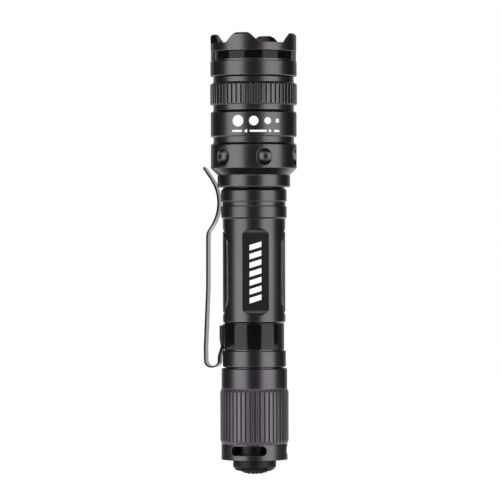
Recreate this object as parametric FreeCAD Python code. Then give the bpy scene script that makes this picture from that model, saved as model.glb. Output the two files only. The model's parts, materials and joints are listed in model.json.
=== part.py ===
"""Two-cell tactical flashlight with a zoom head, pocket clip and tail switch.

Lengths are in millimetres.  Heights are measured up the light's axis from the end plane of the tail cap,
and each piece is moved down by ORIGIN_HEIGHT as it is written, so the row's origin is the middle of the
grip tube.  +Z runs from the tail to the crown.  Bearings are degrees round the axis from the front, which
faces -Y, turning towards +X.
"""
import FreeCAD, Part
import math
import os

Vector = FreeCAD.Vector
AXIS = Vector(0, 0, 1)
CENTRE = Vector(0, 0, 0)

# ---- driving dimensions: heights -------------------------------------------------------------------
SKIRT_TOP = 5.4
TAIL_RIB_LOW, TAIL_RIB_HIGH = 6.8, 23.8
CAP_COLLAR_LOW, CAP_TOP = 25.0, 32.0
TUBE_LOW = 19.5
SHOULDER_LOW, SHOULDER_HIGH = 32.4, 38.2
CLIP_GROOVE_HIGH = 47.74
GRIP_LOW, GRIP_HIGH = 48.34, 84.14
COLLAR_LOW, COLLAR_HIGH = 84.74, 93.94
NECK_LOW, NECK_HIGH = 95.0, 116.5
SHELL_LOW, SHELL_COLLAR_HIGH = 95.2, 99.4
DIMPLE_BAND_LOW, DIMPLE_BAND_HIGH, DIMPLE_BAND_SHOULDER = 101.9, 109.85, 110.75
LABEL_LOW, LABEL_HIGH, LABEL_SHOULDER = 112.9, 121.1, 121.95
RING_LOW, RING_HIGH = 122.15, 133.55
RIB_LOW, RIB_HIGH, RIB_SHOULDER = 124.1, 130.95, 131.85
FRONT_LOW, LINER_LOW, FRONT_BAND_HIGH = 133.9, 137.5, 139.1
CROWN_LOW, CROWN_NOTCH, CROWN_TOP = 142.6, 145.43, 148.8
SLEEVE_TOP = 141.0
ORIGIN_HEIGHT = (GRIP_LOW + GRIP_HIGH) / 2

# ---- driving dimensions: radii ---------------------------------------------------------------------
SKIRT_R, TAIL_RIB_R, TAIL_ROOT_R, CAP_COLLAR_R = 11.59, 11.97, 11.4, 11.48
SHOULDER_R, CLIP_GROOVE_R, GRIP_R, COLLAR_R, COLLAR_GROOVE_R = 11.08, 10.35, 10.94, 11.47, 11.04
NECK_R, CELL_BORE_R = 10.2, 7.5
SHELL_COLLAR_R, HEAD_R, HEAD_GROOVE_R = 12.69, 15.02, 14.08
RING_CREST_R, RING_ROOT_R = 15.19, 14.55
FRONT_R, CROWN_R, LINER_R = 15.1, 15.0, 13.5
SLEEVE_IN_R, SLEEVE_OUT_R = 12.3, 13.1
RING_BORE_R, RING_CAM_R, WASHER_R = 13.2, 13.9, 13.6
CAP_BORE_R, SWITCH_BORE_R, SKIRT_IN_R = 10.15, 9.4, 9.7

# ---- fits and edges --------------------------------------------------------------------------------
SEALED_GAP, WASHER_GAP = 0.08, 0.05
EDGE, FINE_EDGE = 0.3, 0.15
ROUND_IN, ROUND_UP = 0.12, 0.2

# ---- grip dimples in the head ----------------------------------------------------------------------
DIMPLE_COUNT, DIMPLE_FIRST, DIMPLE_HEIGHT = 6, 11.2, 105.65
DIMPLE_BALL_R, DIMPLE_BALL_D = 3.4, 16.6

# ---- zoom ------------------------------------------------------------------------------------------
ZOOM_TRAVEL, ZOOM_TURN = 5.0, 90.0
CAM_PIN_R, CAM_SLOT_R, CAM_PIN_HEIGHT = 0.8, 0.87, 124.9
CAM_BEARINGS = (60, 180, 300)
LENS_BACK, LENS_R, LENS_EDGE, LENS_RISE, LENS_DOME_R = 131.0, 11.3, 2.0, 6.0, 10.6
CARRIER_LOW, CARRIER_HIGH, CARRIER_IN_R, CARRIER_OUT_R = 122.6, 134.6, 10.8, 12.2

# ---- light engine ----------------------------------------------------------------------------------
PILL_LOW, PILL_SEAT, PILL_NUT_HIGH, PILL_FLOOR, PILL_TOP = 118.0, 121.0, 122.2, 126.0, 127.5
PILL_BORE_R, PILL_R, PILL_FLANGE_R = 9.0, 10.5, 11.6
LED_BOARD_TOP, DRIVER_LOW, DRIVER_HIGH = 129.1, 122.8, 124.0
LEAD_D, LEAD_R, LEAD_HOLE_R = 5.5, 0.5, 0.9

# ---- thread between the tube and the tail cap ------------------------------------------------------
PITCH = 1.5
MALE_CORE_R, MALE_CREST_R, FEMALE_CREST_R = 9.25, 9.95, 9.45
TOOTH_ROOT, TOOTH_CREST, THREAD_BURIED = 0.50, 0.15, 0.3
THREAD_LOW, THREAD_HIGH = 20.6, 27.2

# ---- cells and switch ------------------------------------------------------------------------------
CELL_R, CELL_LENGTH, CELL_NUB, CELL_NUB_R, CELLS_LOW = 7.1, 50.5, 1.0, 2.75, 18.8
BOOT_R, BOOT_SHOULDER, BOOT_TIP, BOOT_TOP, BOOT_WALL = 7.6, -2.66, -5.285, 5.6, 1.2
WEB_LOW, WEB_HIGH, WEB_HOLE_R = 6.2, 7.6, 7.9
FLANGE_TOP, BOOT_WASHER_TOP, SWITCH_BOARD_LOW, SWITCH_BOARD_TOP = 8.8, 9.3, 12.2, 13.2

# ---- pocket clip -----------------------------------------------------------------------------------
CLIP_BEARING, CLIP_WIDTH, CLIP_THICKNESS = -105.2, 5.5, 0.5
CLIP_BAND_IN_R, CLIP_BAND_LOW, CLIP_BAND_HIGH, CLIP_BAND_HALF_ARC = 10.42, 38.64, 47.57, 152
CLIP_TAB_D, CLIP_TAB_LOW, CLIP_TAB_HIGH = 11.6, 40.0, 46.9
CLIP_BEND_D, CLIP_BEND_LOW, CLIP_SPLIT_GAP = 14.9, 32.4, 0.12

# Far enough past every outer surface for a cutting tool
BEYOND = 30.0


# ---- helpers ---------------------------------------------------------------------------------------
def export(name, shape):
    """Write one piece, moved to the row's frame."""
    shape.translate(Vector(0, 0, -ORIGIN_HEIGHT))
    shape.exportStep("parts/%s.step" % name)


def turned(outline):
    """Solid of revolution of a closed outline of (radius, height) points."""
    points = [Vector(radius, 0, height) for radius, height in outline]
    face = Part.Face(Part.makePolygon(points + points[:1]))
    return face.revolve(CENTRE, AXIS, 360)


def tube(inner, outer, low, high):
    """Plain ring between two radii and two heights."""
    return turned([(inner, low), (outer, low), (outer, high), (inner, high)])


def disc(radius, low, high):
    return Part.makeCylinder(radius, high - low, Vector(0, 0, low))


def o_ring(centre_radius, section_radius, height):
    return Part.makeTorus(centre_radius, section_radius, Vector(0, 0, height), AXIS)


def at_bearing(shape, bearing):
    """Copy of a shape that was made at the front, turned to a bearing."""
    copy = shape.copy()
    copy.rotate(CENTRE, AXIS, bearing)
    return copy


def radial_pin(radius, inner, outer, height, bearing):
    """Cylinder that points out from the axis."""
    pin = Part.makeCylinder(radius, outer - inner, Vector(0, -inner, height), Vector(0, -1, 0))
    return at_bearing(pin, bearing)


def spread(shape, count, first=0.0):
    """Evenly spaced copies round the axis."""
    return [at_bearing(shape, first + 360.0 * index / count) for index in range(count)]


def prism(outline, plane, low, high):
    """Closed outline extruded along X (outline is y, z) or along Z (outline is x, y)."""
    if plane == "YZ":
        points = [Vector(low, first, second) for first, second in outline]
        length = Vector(high - low, 0, 0)
    else:
        points = [Vector(first, second, low) for first, second in outline]
        length = Vector(0, 0, high - low)
    return Part.Face(Part.makePolygon(points + points[:1])).extrude(length)


def ribbed_prism(count, root_radius, crest_radius, crest_share, low, high):
    """Star-like prism: crests and narrow roots are arcs, joined by steep flanks."""
    root_share = 0.2
    pitch = 2 * math.pi / count
    crest_half = pitch * crest_share / 2
    root_half = pitch * (1 - crest_share) / 2 * root_share
    edges = []

    def point(radius, angle):
        return Vector(radius * math.cos(angle), radius * math.sin(angle), low)

    for index in range(count):
        middle = index * pitch
        valley = middle + pitch / 2
        crest_end = point(crest_radius, middle + crest_half)
        root_start = point(root_radius, valley - root_half)
        root_end = point(root_radius, valley + root_half)
        next_crest = point(crest_radius, middle + pitch - crest_half)
        edges.append(Part.Arc(point(crest_radius, middle - crest_half), point(crest_radius, middle),
                              crest_end).toShape())
        edges.append(Part.LineSegment(crest_end, root_start).toShape())
        edges.append(Part.Arc(root_start, point(root_radius, valley), root_end).toShape())
        edges.append(Part.LineSegment(root_end, next_crest).toShape())
    return Part.Face(Part.Wire(edges)).extrude(Vector(0, 0, high - low))


def thread_tooth(base_radius, crest_radius, low, turns):
    """One helical tooth of trapezoid section, with its flanks carried on below the base surface."""
    slant = (TOOTH_ROOT - TOOTH_CREST) / (crest_radius - base_radius)
    buried_radius = base_radius - math.copysign(THREAD_BURIED, crest_radius - base_radius)
    buried_half = TOOTH_CREST + slant * (crest_radius - buried_radius)
    section = Part.makePolygon([Vector(buried_radius, 0, low - buried_half),
                                Vector(crest_radius, 0, low - TOOTH_CREST),
                                Vector(crest_radius, 0, low + TOOTH_CREST),
                                Vector(buried_radius, 0, low + buried_half),
                                Vector(buried_radius, 0, low - buried_half)])
    path = Part.makeHelix(PITCH, PITCH * turns, base_radius)
    path.translate(Vector(0, 0, low))
    return Part.Wire(path.Edges).makePipeShell([section], True, True)


def coil(wire_radius, low_radius, high_radius, low, high, turns):
    """Coil spring, straight or conical, of eight-sided wire that stays between two heights."""
    height = high - low - 2 * wire_radius
    narrow, wide = sorted((low_radius, high_radius))
    cone = math.degrees(math.atan2(wide - narrow, height))
    path = Part.makeHelix(height / turns, height, narrow, cone)
    along = Vector(0, 2 * math.pi * narrow * turns, height).normalize()
    outward = Vector(1, 0, 0)
    upward = outward.cross(along)
    points = []
    for index in range(9):
        angle = math.radians(22.5 + 45 * index)
        points.append(outward * (narrow + wire_radius * math.cos(angle))
                      + upward * (wire_radius * math.sin(angle)))
    spring = Part.Wire(path.Edges).makePipeShell([Part.makePolygon(points)], True, True)
    if low_radius > high_radius:
        spring.rotate(CENTRE, outward, 180)
        spring.translate(Vector(0, 0, height))
    spring.translate(Vector(0, 0, low + wire_radius))
    return spring


def rounded_top(radius, height):
    """The two outline points where a band starts to turn over into the groove above it."""
    return [(radius, height), (radius - ROUND_IN, height + ROUND_UP)]


# ---- battery tube ----------------------------------------------------------------------------------
def battery_tube():
    thread_end, spigot_low = 27.8, 28.1
    seal_low, seal_high, seal_floor = 28.8, 30.2, 8.95
    collar_groove_low, collar_groove_high, groove_slope = 88.75, 90.1, 0.34
    collar_taper_high, collar_taper_r, collar_top_r = 94.71, 10.99, 10.7
    neck_seal_low, neck_seal_high, neck_seal_floor = 97.2, 98.6, 9.2
    spigot_r = CAP_BORE_R - SEALED_GAP
    body = turned([
        (CELL_BORE_R, TUBE_LOW), (MALE_CORE_R - EDGE, TUBE_LOW), (MALE_CORE_R, TUBE_LOW + EDGE),
        (MALE_CORE_R, thread_end), (spigot_r, spigot_low), (spigot_r, seal_low), (seal_floor, seal_low),
        (seal_floor, seal_high), (spigot_r, seal_high), (spigot_r, SHOULDER_LOW),
        (SHOULDER_R - EDGE, SHOULDER_LOW), (SHOULDER_R, SHOULDER_LOW + EDGE),
        (SHOULDER_R, SHOULDER_HIGH - EDGE), (SHOULDER_R - EDGE, SHOULDER_HIGH),
        (CLIP_GROOVE_R, SHOULDER_HIGH), (CLIP_GROOVE_R, CLIP_GROOVE_HIGH),
        (GRIP_R, GRIP_LOW), (GRIP_R, GRIP_HIGH), (COLLAR_R, COLLAR_LOW),
        (COLLAR_R, collar_groove_low - groove_slope), (COLLAR_GROOVE_R, collar_groove_low),
        (COLLAR_GROOVE_R, collar_groove_high), (COLLAR_R, collar_groove_high + groove_slope),
        (COLLAR_R, COLLAR_HIGH), (collar_taper_r, collar_taper_high), (collar_top_r, NECK_LOW),
        (NECK_R, NECK_LOW), (NECK_R, neck_seal_low), (neck_seal_floor, neck_seal_low),
        (neck_seal_floor, neck_seal_high), (NECK_R, neck_seal_high), (NECK_R, NECK_HIGH),
        (CELL_BORE_R, NECK_HIGH),
    ])
    panels = [panel_cut(0), panel_cut(180)]
    body = body.cut(panels + [racetrack_groove(90), racetrack_groove(-90)])
    turns = (THREAD_HIGH - THREAD_LOW) / PITCH
    return body.fuse(thread_tooth(MALE_CORE_R, MALE_CREST_R, THREAD_LOW, turns))


def panel_cut(bearing):
    """What a round-nosed cutter takes off to leave one flat panel with curved run-outs."""
    flat_d, low, high, cutter_r, half_width = 9.90, 53.0, 78.4, 3.8, 6.0
    cutter_d = flat_d + cutter_r
    cut = Part.makeBox(2 * half_width, 2 * cutter_r, high - low,
                       Vector(-half_width, -cutter_d - cutter_r, low))
    ends = [Part.makeCylinder(cutter_r, 2 * half_width, Vector(-half_width, -cutter_d, height),
                              Vector(1, 0, 0)) for height in (low, high)]
    return at_bearing(cut.fuse(ends), bearing)


def racetrack_groove(bearing):
    """Shallow engraved loop on one side of the grip tube."""
    low, high, outer_half, inner_half, floor_r = 50.3, 80.9, 6.2, 4.9, 10.62
    outside, depth = GRIP_R + 2, 6.0

    def slab(half, bottom, top):
        straight = Part.makeBox(2 * half, depth, top - bottom - 2 * half,
                                Vector(-half, -outside, bottom + half))
        ends = [Part.makeCylinder(half, depth, Vector(0, -outside, height), Vector(0, 1, 0))
                for height in (bottom + half, top - half)]
        return straight.fuse(ends)

    width = outer_half - inner_half
    loop = slab(outer_half, low, high).cut(slab(inner_half, low + width, high - width))
    return at_bearing(loop.cut(disc(floor_r, low - 1, high + 1)), bearing)


# ---- head ------------------------------------------------------------------------------------------
def head_shell():
    collar_base_in, collar_base_up, lip = 0.5, 0.5, 0.3
    wall = [
        (NECK_R, SHELL_LOW), (SHELL_COLLAR_R - collar_base_in, SHELL_LOW),
        (SHELL_COLLAR_R - FINE_EDGE, SHELL_LOW + FINE_EDGE), (SHELL_COLLAR_R, SHELL_LOW + collar_base_up),
        (SHELL_COLLAR_R, SHELL_COLLAR_HIGH - ROUND_UP), (SHELL_COLLAR_R - ROUND_UP, SHELL_COLLAR_HIGH),
        (HEAD_R, DIMPLE_BAND_LOW),
    ]
    wall += rounded_top(HEAD_R, DIMPLE_BAND_HIGH)
    wall += [(HEAD_GROOVE_R, DIMPLE_BAND_SHOULDER), (HEAD_GROOVE_R, LABEL_LOW - lip / 2),
             (HEAD_R - lip, LABEL_LOW - lip / 2), (HEAD_R, LABEL_LOW + lip / 2)]
    wall += rounded_top(HEAD_R, LABEL_HIGH)
    wall += [(HEAD_GROOVE_R, LABEL_SHOULDER), (SLEEVE_OUT_R, LABEL_SHOULDER), (SLEEVE_OUT_R, SLEEVE_TOP),
             (SLEEVE_IN_R, SLEEVE_TOP), (SLEEVE_IN_R, PILL_NUT_HIGH), (PILL_FLANGE_R, PILL_NUT_HIGH),
             (PILL_FLANGE_R, PILL_LOW), (PILL_BORE_R, PILL_LOW), (PILL_BORE_R, NECK_HIGH),
             (NECK_R, NECK_HIGH)]
    ball = Part.makeSphere(DIMPLE_BALL_R, Vector(0, -DIMPLE_BALL_D, DIMPLE_HEIGHT))
    dimples = spread(ball, DIMPLE_COUNT, DIMPLE_FIRST)
    slots = [cut for bearing in CAM_BEARINGS for cut in lifting_slot(bearing)]
    return turned(wall).cut(dimples + slots)


def lifting_slot(bearing):
    """Upright round-ended slot in the guide sleeve for one cam pin."""
    inner, outer, spare = 11.5, 14.5, 0.1
    low, high = CAM_PIN_HEIGHT - spare, CAM_PIN_HEIGHT + ZOOM_TRAVEL + spare
    ends = [radial_pin(CAM_SLOT_R, inner, outer, height, bearing) for height in (low, high)]
    middle = Part.makeBox(2 * CAM_SLOT_R, outer - inner, high - low, Vector(-CAM_SLOT_R, -outer, low))
    return ends + [at_bearing(middle, bearing)]


def focus_ring():
    rib_count, crest_share, overlap = 54, 0.56, 0.05
    body = [(RING_BORE_R, RING_LOW), (HEAD_GROOVE_R, RING_LOW), (HEAD_GROOVE_R, RIB_LOW - FINE_EDGE),
            (RING_CREST_R - EDGE, RIB_LOW - FINE_EDGE), (RING_CREST_R, RIB_LOW + FINE_EDGE)]
    body += rounded_top(RING_CREST_R, RIB_HIGH)
    body += [(HEAD_GROOVE_R, RIB_SHOULDER), (HEAD_GROOVE_R, RING_HIGH), (RING_BORE_R, RING_HIGH)]
    star = ribbed_prism(rib_count, RING_ROOT_R, RING_CREST_R + overlap, crest_share, RIB_LOW - 1,
                        RIB_SHOULDER + 1)
    valleys = disc(RING_CREST_R + 1, RIB_LOW - 1, RIB_SHOULDER + 1).cut(star)
    ring = turned(body).cut([cam_groove(bearing) for bearing in CAM_BEARINGS])
    return ring.cut(valleys)


def cam_groove(bearing):
    """Helical groove inside the focus ring that lifts one cam pin through the zoom travel."""
    turn = math.radians(ZOOM_TURN)
    path_radius = (RING_BORE_R + RING_CAM_R) / 2
    slope = math.atan2(ZOOM_TRAVEL, turn * path_radius)
    half_height = CAM_SLOT_R / math.cos(slope)
    low_r, high_r = RING_BORE_R - EDGE, RING_CAM_R
    profile = [Vector(low_r, 0, -half_height), Vector(high_r, 0, -half_height),
               Vector(high_r, 0, half_height), Vector(low_r, 0, half_height)]
    path = Part.makeHelix(ZOOM_TRAVEL * 360 / ZOOM_TURN, ZOOM_TRAVEL, path_radius, 0, True)
    groove = Part.Wire(path.Edges).makePipeShell([Part.makePolygon(profile + profile[:1])], True, True)
    groove.rotate(CENTRE, AXIS, bearing - 90)
    groove.translate(Vector(0, 0, CAM_PIN_HEIGHT))
    ends = [radial_pin(CAM_SLOT_R, low_r, high_r, CAM_PIN_HEIGHT, bearing),
            radial_pin(CAM_SLOT_R, low_r, high_r, CAM_PIN_HEIGHT + ZOOM_TRAVEL, bearing - ZOOM_TURN)]
    return groove.fuse(ends)


def focus_ring_washers():
    low = tube(RING_BORE_R, WASHER_R, LABEL_SHOULDER, RING_LOW - WASHER_GAP)
    high = tube(RING_BORE_R, WASHER_R, RING_HIGH + WASHER_GAP, FRONT_LOW)
    return Part.makeCompound([low, high])


def window_liner():
    """Gloss inner sleeve that shows through the front ring's two windows."""
    return tube(SLEEVE_OUT_R, LINER_R, LINER_LOW, CROWN_LOW)


def front_ring():
    """Fixed ring in front of the focus ring, with two long milled windows under the crown."""
    post_r = CROWN_R - 0.1
    ledge_r, ledge_high, window_half_angle = 14.2, FRONT_BAND_HIGH + 0.8, 66.0
    ring = turned([
        (SLEEVE_OUT_R, FRONT_LOW), (FRONT_R - EDGE, FRONT_LOW), (FRONT_R, FRONT_LOW + EDGE),
        (FRONT_R, FRONT_BAND_HIGH - FINE_EDGE), (FRONT_R - FINE_EDGE, FRONT_BAND_HIGH),
        (post_r, FRONT_BAND_HIGH), (post_r, CROWN_LOW), (LINER_R, CROWN_LOW), (LINER_R, LINER_LOW),
        (SLEEVE_OUT_R, LINER_LOW),
    ])
    opening = tube(LINER_R - 1, FRONT_R + 1, ledge_high, CROWN_LOW + 1)
    step = tube(ledge_r, FRONT_R + 1, FRONT_BAND_HIGH, ledge_high)
    half = math.radians(window_half_angle)
    side, front = BEYOND * math.sin(half), -BEYOND * math.cos(half)
    sector = prism([(0, 0), (-side, front), (-BEYOND, -BEYOND), (0, -2 * BEYOND), (BEYOND, -BEYOND),
                    (side, front)], "XY", FRONT_BAND_HIGH - 1, CROWN_LOW + 2)
    window = opening.fuse(step).common(sector)
    return ring.cut([window, at_bearing(window, 180)])


def crown_ring():
    """Strike crown with four teeth; its lower lip screws over the guide sleeve."""
    notch_base_half, notch_top_half, first_tooth, tooth_count = 5.5, 8.6, -19.6, 4
    bore_r, mouth_r, mouth_depth, top_edge = SLEEVE_IN_R + 0.15, SLEEVE_OUT_R + 0.1, 2.2, 0.6
    ring = turned([
        (bore_r, CROWN_LOW), (CROWN_R - ROUND_UP, CROWN_LOW), (CROWN_R, CROWN_LOW + ROUND_UP),
        (CROWN_R, CROWN_TOP - top_edge), (CROWN_R - top_edge, CROWN_TOP), (mouth_r, CROWN_TOP),
        (bore_r, CROWN_TOP - mouth_depth),
    ])
    over = 1.0
    slope = (notch_top_half - notch_base_half) / (CROWN_TOP - CROWN_NOTCH)
    over_half = notch_top_half + slope * over
    notch = prism([(-notch_base_half, CROWN_NOTCH), (notch_base_half, CROWN_NOTCH),
                   (over_half, CROWN_TOP + over), (-over_half, CROWN_TOP + over)], "YZ", 8, 18)
    return ring.cut(spread(notch, tooth_count, first_tooth - 45))


# ---- optics and light engine -----------------------------------------------------------------------
def lens_carrier():
    bore, seat_r, seat_depth = LENS_R + WASHER_GAP, CARRIER_IN_R - 0.1, 0.8
    body = turned([(CARRIER_IN_R, CARRIER_LOW), (CARRIER_OUT_R, CARRIER_LOW),
                   (CARRIER_OUT_R, CARRIER_HIGH), (bore, CARRIER_HIGH), (bore, LENS_BACK),
                   (seat_r, LENS_BACK), (seat_r, LENS_BACK - seat_depth),
                   (CARRIER_IN_R, LENS_BACK - seat_depth - 0.1)])
    holes = [radial_pin(CAM_PIN_R, CARRIER_IN_R - 1, CARRIER_OUT_R + 1, CAM_PIN_HEIGHT, bearing)
             for bearing in CAM_BEARINGS]
    return body.cut(holes)


def cam_pins():
    return Part.makeCompound([radial_pin(CAM_PIN_R, CARRIER_IN_R + 0.1, RING_CAM_R - 0.15,
                                         CAM_PIN_HEIGHT, bearing) for bearing in CAM_BEARINGS])


def lens():
    """Plano-convex zoom lens: flat back, thin flange, and a domed front."""
    flange_top = LENS_BACK + LENS_EDGE
    sag_radius = (LENS_DOME_R ** 2 + LENS_RISE ** 2) / (2 * LENS_RISE)
    dome = Part.makeSphere(sag_radius, Vector(0, 0, flange_top + LENS_RISE - sag_radius))
    dome = dome.common(disc(LENS_DOME_R, flange_top - 0.5, flange_top + LENS_RISE + 1))
    return disc(LENS_R, LENS_BACK, flange_top).fuse(dome).removeSplitter()


def led_pill():
    """Heat-spreading cup that carries the LED board and holds the driver."""
    cup = turned([(PILL_BORE_R, PILL_LOW), (PILL_FLANGE_R, PILL_LOW), (PILL_FLANGE_R, PILL_SEAT),
                  (PILL_R, PILL_SEAT), (PILL_R, PILL_TOP), (0, PILL_TOP), (0, PILL_FLOOR),
                  (PILL_BORE_R, PILL_FLOOR)])
    return cup.cut(lead_holes(PILL_FLOOR, PILL_TOP))


def lead_holes(low, high):
    return [Part.makeCylinder(LEAD_HOLE_R, high - low, Vector(side * LEAD_D, 0, low)) for side in (-1, 1)]


def led_board():
    return disc(8.0, PILL_TOP, LED_BOARD_TOP).cut(lead_holes(PILL_TOP, LED_BOARD_TOP))


def led_emitter():
    base_side, base_high, chip_side, chip_high, dome_r, dome_sunk = 3.45, 0.5, 1.8, 0.15, 1.55, 0.2
    base_top = LED_BOARD_TOP + base_high
    corner = Vector(-base_side / 2, -base_side / 2, LED_BOARD_TOP)
    base = Part.makeBox(base_side, base_side, base_high, corner)
    chip = Part.makeBox(chip_side, chip_side, chip_high, Vector(-chip_side / 2, -chip_side / 2, base_top))
    dome = Part.makeSphere(dome_r, Vector(0, 0, LED_BOARD_TOP - dome_sunk))
    dome = dome.common(disc(dome_r - WASHER_GAP, base_top, base_top + dome_r))
    return base.fuse([chip, dome]).removeSplitter()


def led_leads():
    """Two insulated wires from the driver board up through the pill."""
    length = LED_BOARD_TOP + 0.2 - DRIVER_HIGH
    return Part.makeCompound([Part.makeCylinder(LEAD_R, length, Vector(side * LEAD_D, 0, DRIVER_HIGH))
                              for side in (-1, 1)])


# ---- tail cap and switch ---------------------------------------------------------------------------
def tail_cap():
    rib_count, crest_share, overlap, foot_edge, bore_step = 45, 0.52, 0.03, 0.15, 18.0
    body = turned([
        (SKIRT_IN_R, EDGE), (SKIRT_IN_R + EDGE, 0), (SKIRT_R - foot_edge, 0), (SKIRT_R, foot_edge),
        (SKIRT_R, SKIRT_TOP), (TAIL_ROOT_R, SKIRT_TOP + ROUND_UP), (TAIL_ROOT_R, CAP_COLLAR_LOW),
        (CAP_COLLAR_R, CAP_COLLAR_LOW + WASHER_GAP), (CAP_COLLAR_R, CAP_TOP - EDGE),
        (CAP_COLLAR_R - EDGE, CAP_TOP), (CAP_BORE_R + EDGE, CAP_TOP), (CAP_BORE_R, CAP_TOP - EDGE),
        (CAP_BORE_R, bore_step), (SWITCH_BORE_R, bore_step), (SWITCH_BORE_R, WEB_HIGH),
        (WEB_HOLE_R, WEB_HIGH), (WEB_HOLE_R, WEB_LOW), (SKIRT_IN_R, WEB_LOW),
    ])
    ribs = ribbed_prism(rib_count, TAIL_ROOT_R, TAIL_RIB_R + overlap, crest_share, SKIRT_TOP, CAP_COLLAR_LOW)
    envelope = turned([(0, SKIRT_TOP), (TAIL_ROOT_R, SKIRT_TOP), (TAIL_RIB_R, TAIL_RIB_LOW),
                       (TAIL_RIB_R, TAIL_RIB_HIGH), (TAIL_ROOT_R, CAP_COLLAR_LOW), (0, CAP_COLLAR_LOW)])
    ribs = ribs.common(envelope).cut(disc(TAIL_ROOT_R - EDGE, SKIRT_TOP, CAP_COLLAR_LOW))
    turns = (THREAD_HIGH - THREAD_LOW) / PITCH
    tooth = thread_tooth(CAP_BORE_R, FEMALE_CREST_R, THREAD_LOW - PITCH / 2, turns)
    return body.fuse(tooth).cut(lanyard_slots()).fuse(ribs)


def lanyard_slots():
    """Three round-ended slots through the skirt."""
    low, high, half_angle, first, count = 1.75, 5.05, 33.0, -14.4, 3
    radius = (high - low) / 2
    middle = (low + high) / 2
    end_angle = half_angle - math.degrees(radius / SKIRT_R)
    half = math.radians(end_angle)
    side, front = BEYOND * math.sin(half), -BEYOND * math.cos(half)
    sector = prism([(0, 0), (-side, front), (side, front)], "XY", low, high)
    ring = tube(SKIRT_IN_R - 0.5, SKIRT_R + 0.5, low, high)
    ends = [radial_pin(radius, SKIRT_IN_R - 1, SKIRT_R + 1, middle, side * end_angle) for side in (-1, 1)]
    slot = ring.common(sector).fuse(ends)
    return spread(slot, count, first)


def boot_cup(radius, shoulder, tip, top):
    """Solid cup with a step, a rounded shoulder and a domed end."""
    dome_r, step_in, step_up = 12.8, 0.9, 0.35
    body = turned([(0, tip - 1), (radius - step_in, tip - 1), (radius - step_in, shoulder - step_up),
                   (radius - 0.25, shoulder - 0.2), (radius, shoulder + 0.4), (radius, top), (0, top)])
    ball = Part.makeSphere(dome_r, Vector(0, 0, tip + dome_r))
    below = disc(radius + 1, tip - 2, shoulder - step_up)
    return body.cut(below.cut(ball))


def switch_boot():
    """Moving part of the rubber boot: a thin cup with a domed end."""
    inner = boot_cup(BOOT_R - BOOT_WALL, BOOT_SHOULDER + 0.8, BOOT_TIP + BOOT_WALL, BOOT_TOP + 1)
    return boot_cup(BOOT_R, BOOT_SHOULDER, BOOT_TIP, BOOT_TOP).cut(inner)


def switch_plunger():
    foot, stem_low, stem_r, collar_r, collar_low, collar_high, stem_top = 2.2, -3.5, 2.6, 3.9, 6.5, 7.5, 9.6
    return turned([(0, BOOT_TIP + BOOT_WALL), (foot, BOOT_TIP + BOOT_WALL + 0.25), (stem_r, stem_low),
                   (stem_r, collar_low), (collar_r, collar_low), (collar_r, collar_high),
                   (foot, collar_high), (foot, stem_top), (0, stem_top)])


def switch_housing():
    mouth_r, bore_r, outer_r, low, lip, roof = 2.9, 4.2, 5.2, 5.2, 1.0, 0.5
    return turned([(mouth_r, low), (outer_r, low), (outer_r, SWITCH_BOARD_LOW), (0, SWITCH_BOARD_LOW),
                   (0, SWITCH_BOARD_LOW - roof), (bore_r, SWITCH_BOARD_LOW - roof), (bore_r, low + lip),
                   (mouth_r, low + lip)])


# ---- pocket clip -----------------------------------------------------------------------------------
def line_crossing(first, first_dir, second, second_dir):
    """Where two lines in the clip's side view meet."""
    cross = first_dir.x * second_dir.y - first_dir.y * second_dir.x
    gap = second - first
    return first + first_dir * ((gap.x * second_dir.y - gap.y * second_dir.x) / cross)


def bent_edges(corners, radii, offset):
    """Edges of a bent line, moved sideways by an offset, with tangent arcs at its corners."""
    points = [Vector(distance, height, 0) for distance, height in corners]
    ways = [(second - first).normalize() for first, second in zip(points, points[1:])]
    sides = [Vector(-way.y, way.x, 0) * offset for way in ways]
    moved = [points[0] + sides[0]]
    for index in range(1, len(ways)):
        moved.append(line_crossing(points[index] + sides[index - 1], ways[index - 1],
                                   points[index] + sides[index], ways[index]))
    moved.append(points[-1] + sides[-1])
    edges = []
    start = moved[0]
    for index, radius in enumerate(radii):
        before, after = ways[index], ways[index + 1]
        turn = math.atan2(before.x * after.y - before.y * after.x, before.dot(after))
        arc_radius = radius - math.copysign(1, turn) * offset
        corner = moved[index + 1]
        trim = arc_radius * math.tan(abs(turn) / 2)
        arc_start, arc_end = corner - before * trim, corner + after * trim
        bisector = (after - before).normalize()
        middle = corner + bisector * (arc_radius / math.cos(turn / 2) - arc_radius)
        edges.append(Part.LineSegment(start, arc_start).toShape())
        edges.append(Part.Arc(arc_start, middle, arc_end).toShape())
        start = arc_end
    edges.append(Part.LineSegment(start, moved[-1]).toShape())
    return edges


def strip(corners, radii):
    """Spring strip bent in the clip's side view (distance from the axis, height)."""
    half = CLIP_THICKNESS / 2
    left = bent_edges(corners, radii, half)
    right = bent_edges(corners, radii, -half)
    left_ends = (left[0].Vertexes[0].Point, left[-1].Vertexes[-1].Point)
    right_ends = (right[0].Vertexes[0].Point, right[-1].Vertexes[-1].Point)
    caps = [Part.makeLine(left_ends[0], right_ends[0]), Part.makeLine(left_ends[1], right_ends[1])]
    outline = Part.Wire(Part.__sortEdges__(left + right + caps))
    solid = Part.Face(outline).extrude(Vector(0, 0, CLIP_WIDTH))
    solid.translate(Vector(0, 0, -CLIP_WIDTH / 2))
    solid.rotate(CENTRE, Vector(1, 0, 0), 90)
    solid.rotate(CENTRE, AXIS, CLIP_BEARING - 90)
    return solid


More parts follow.
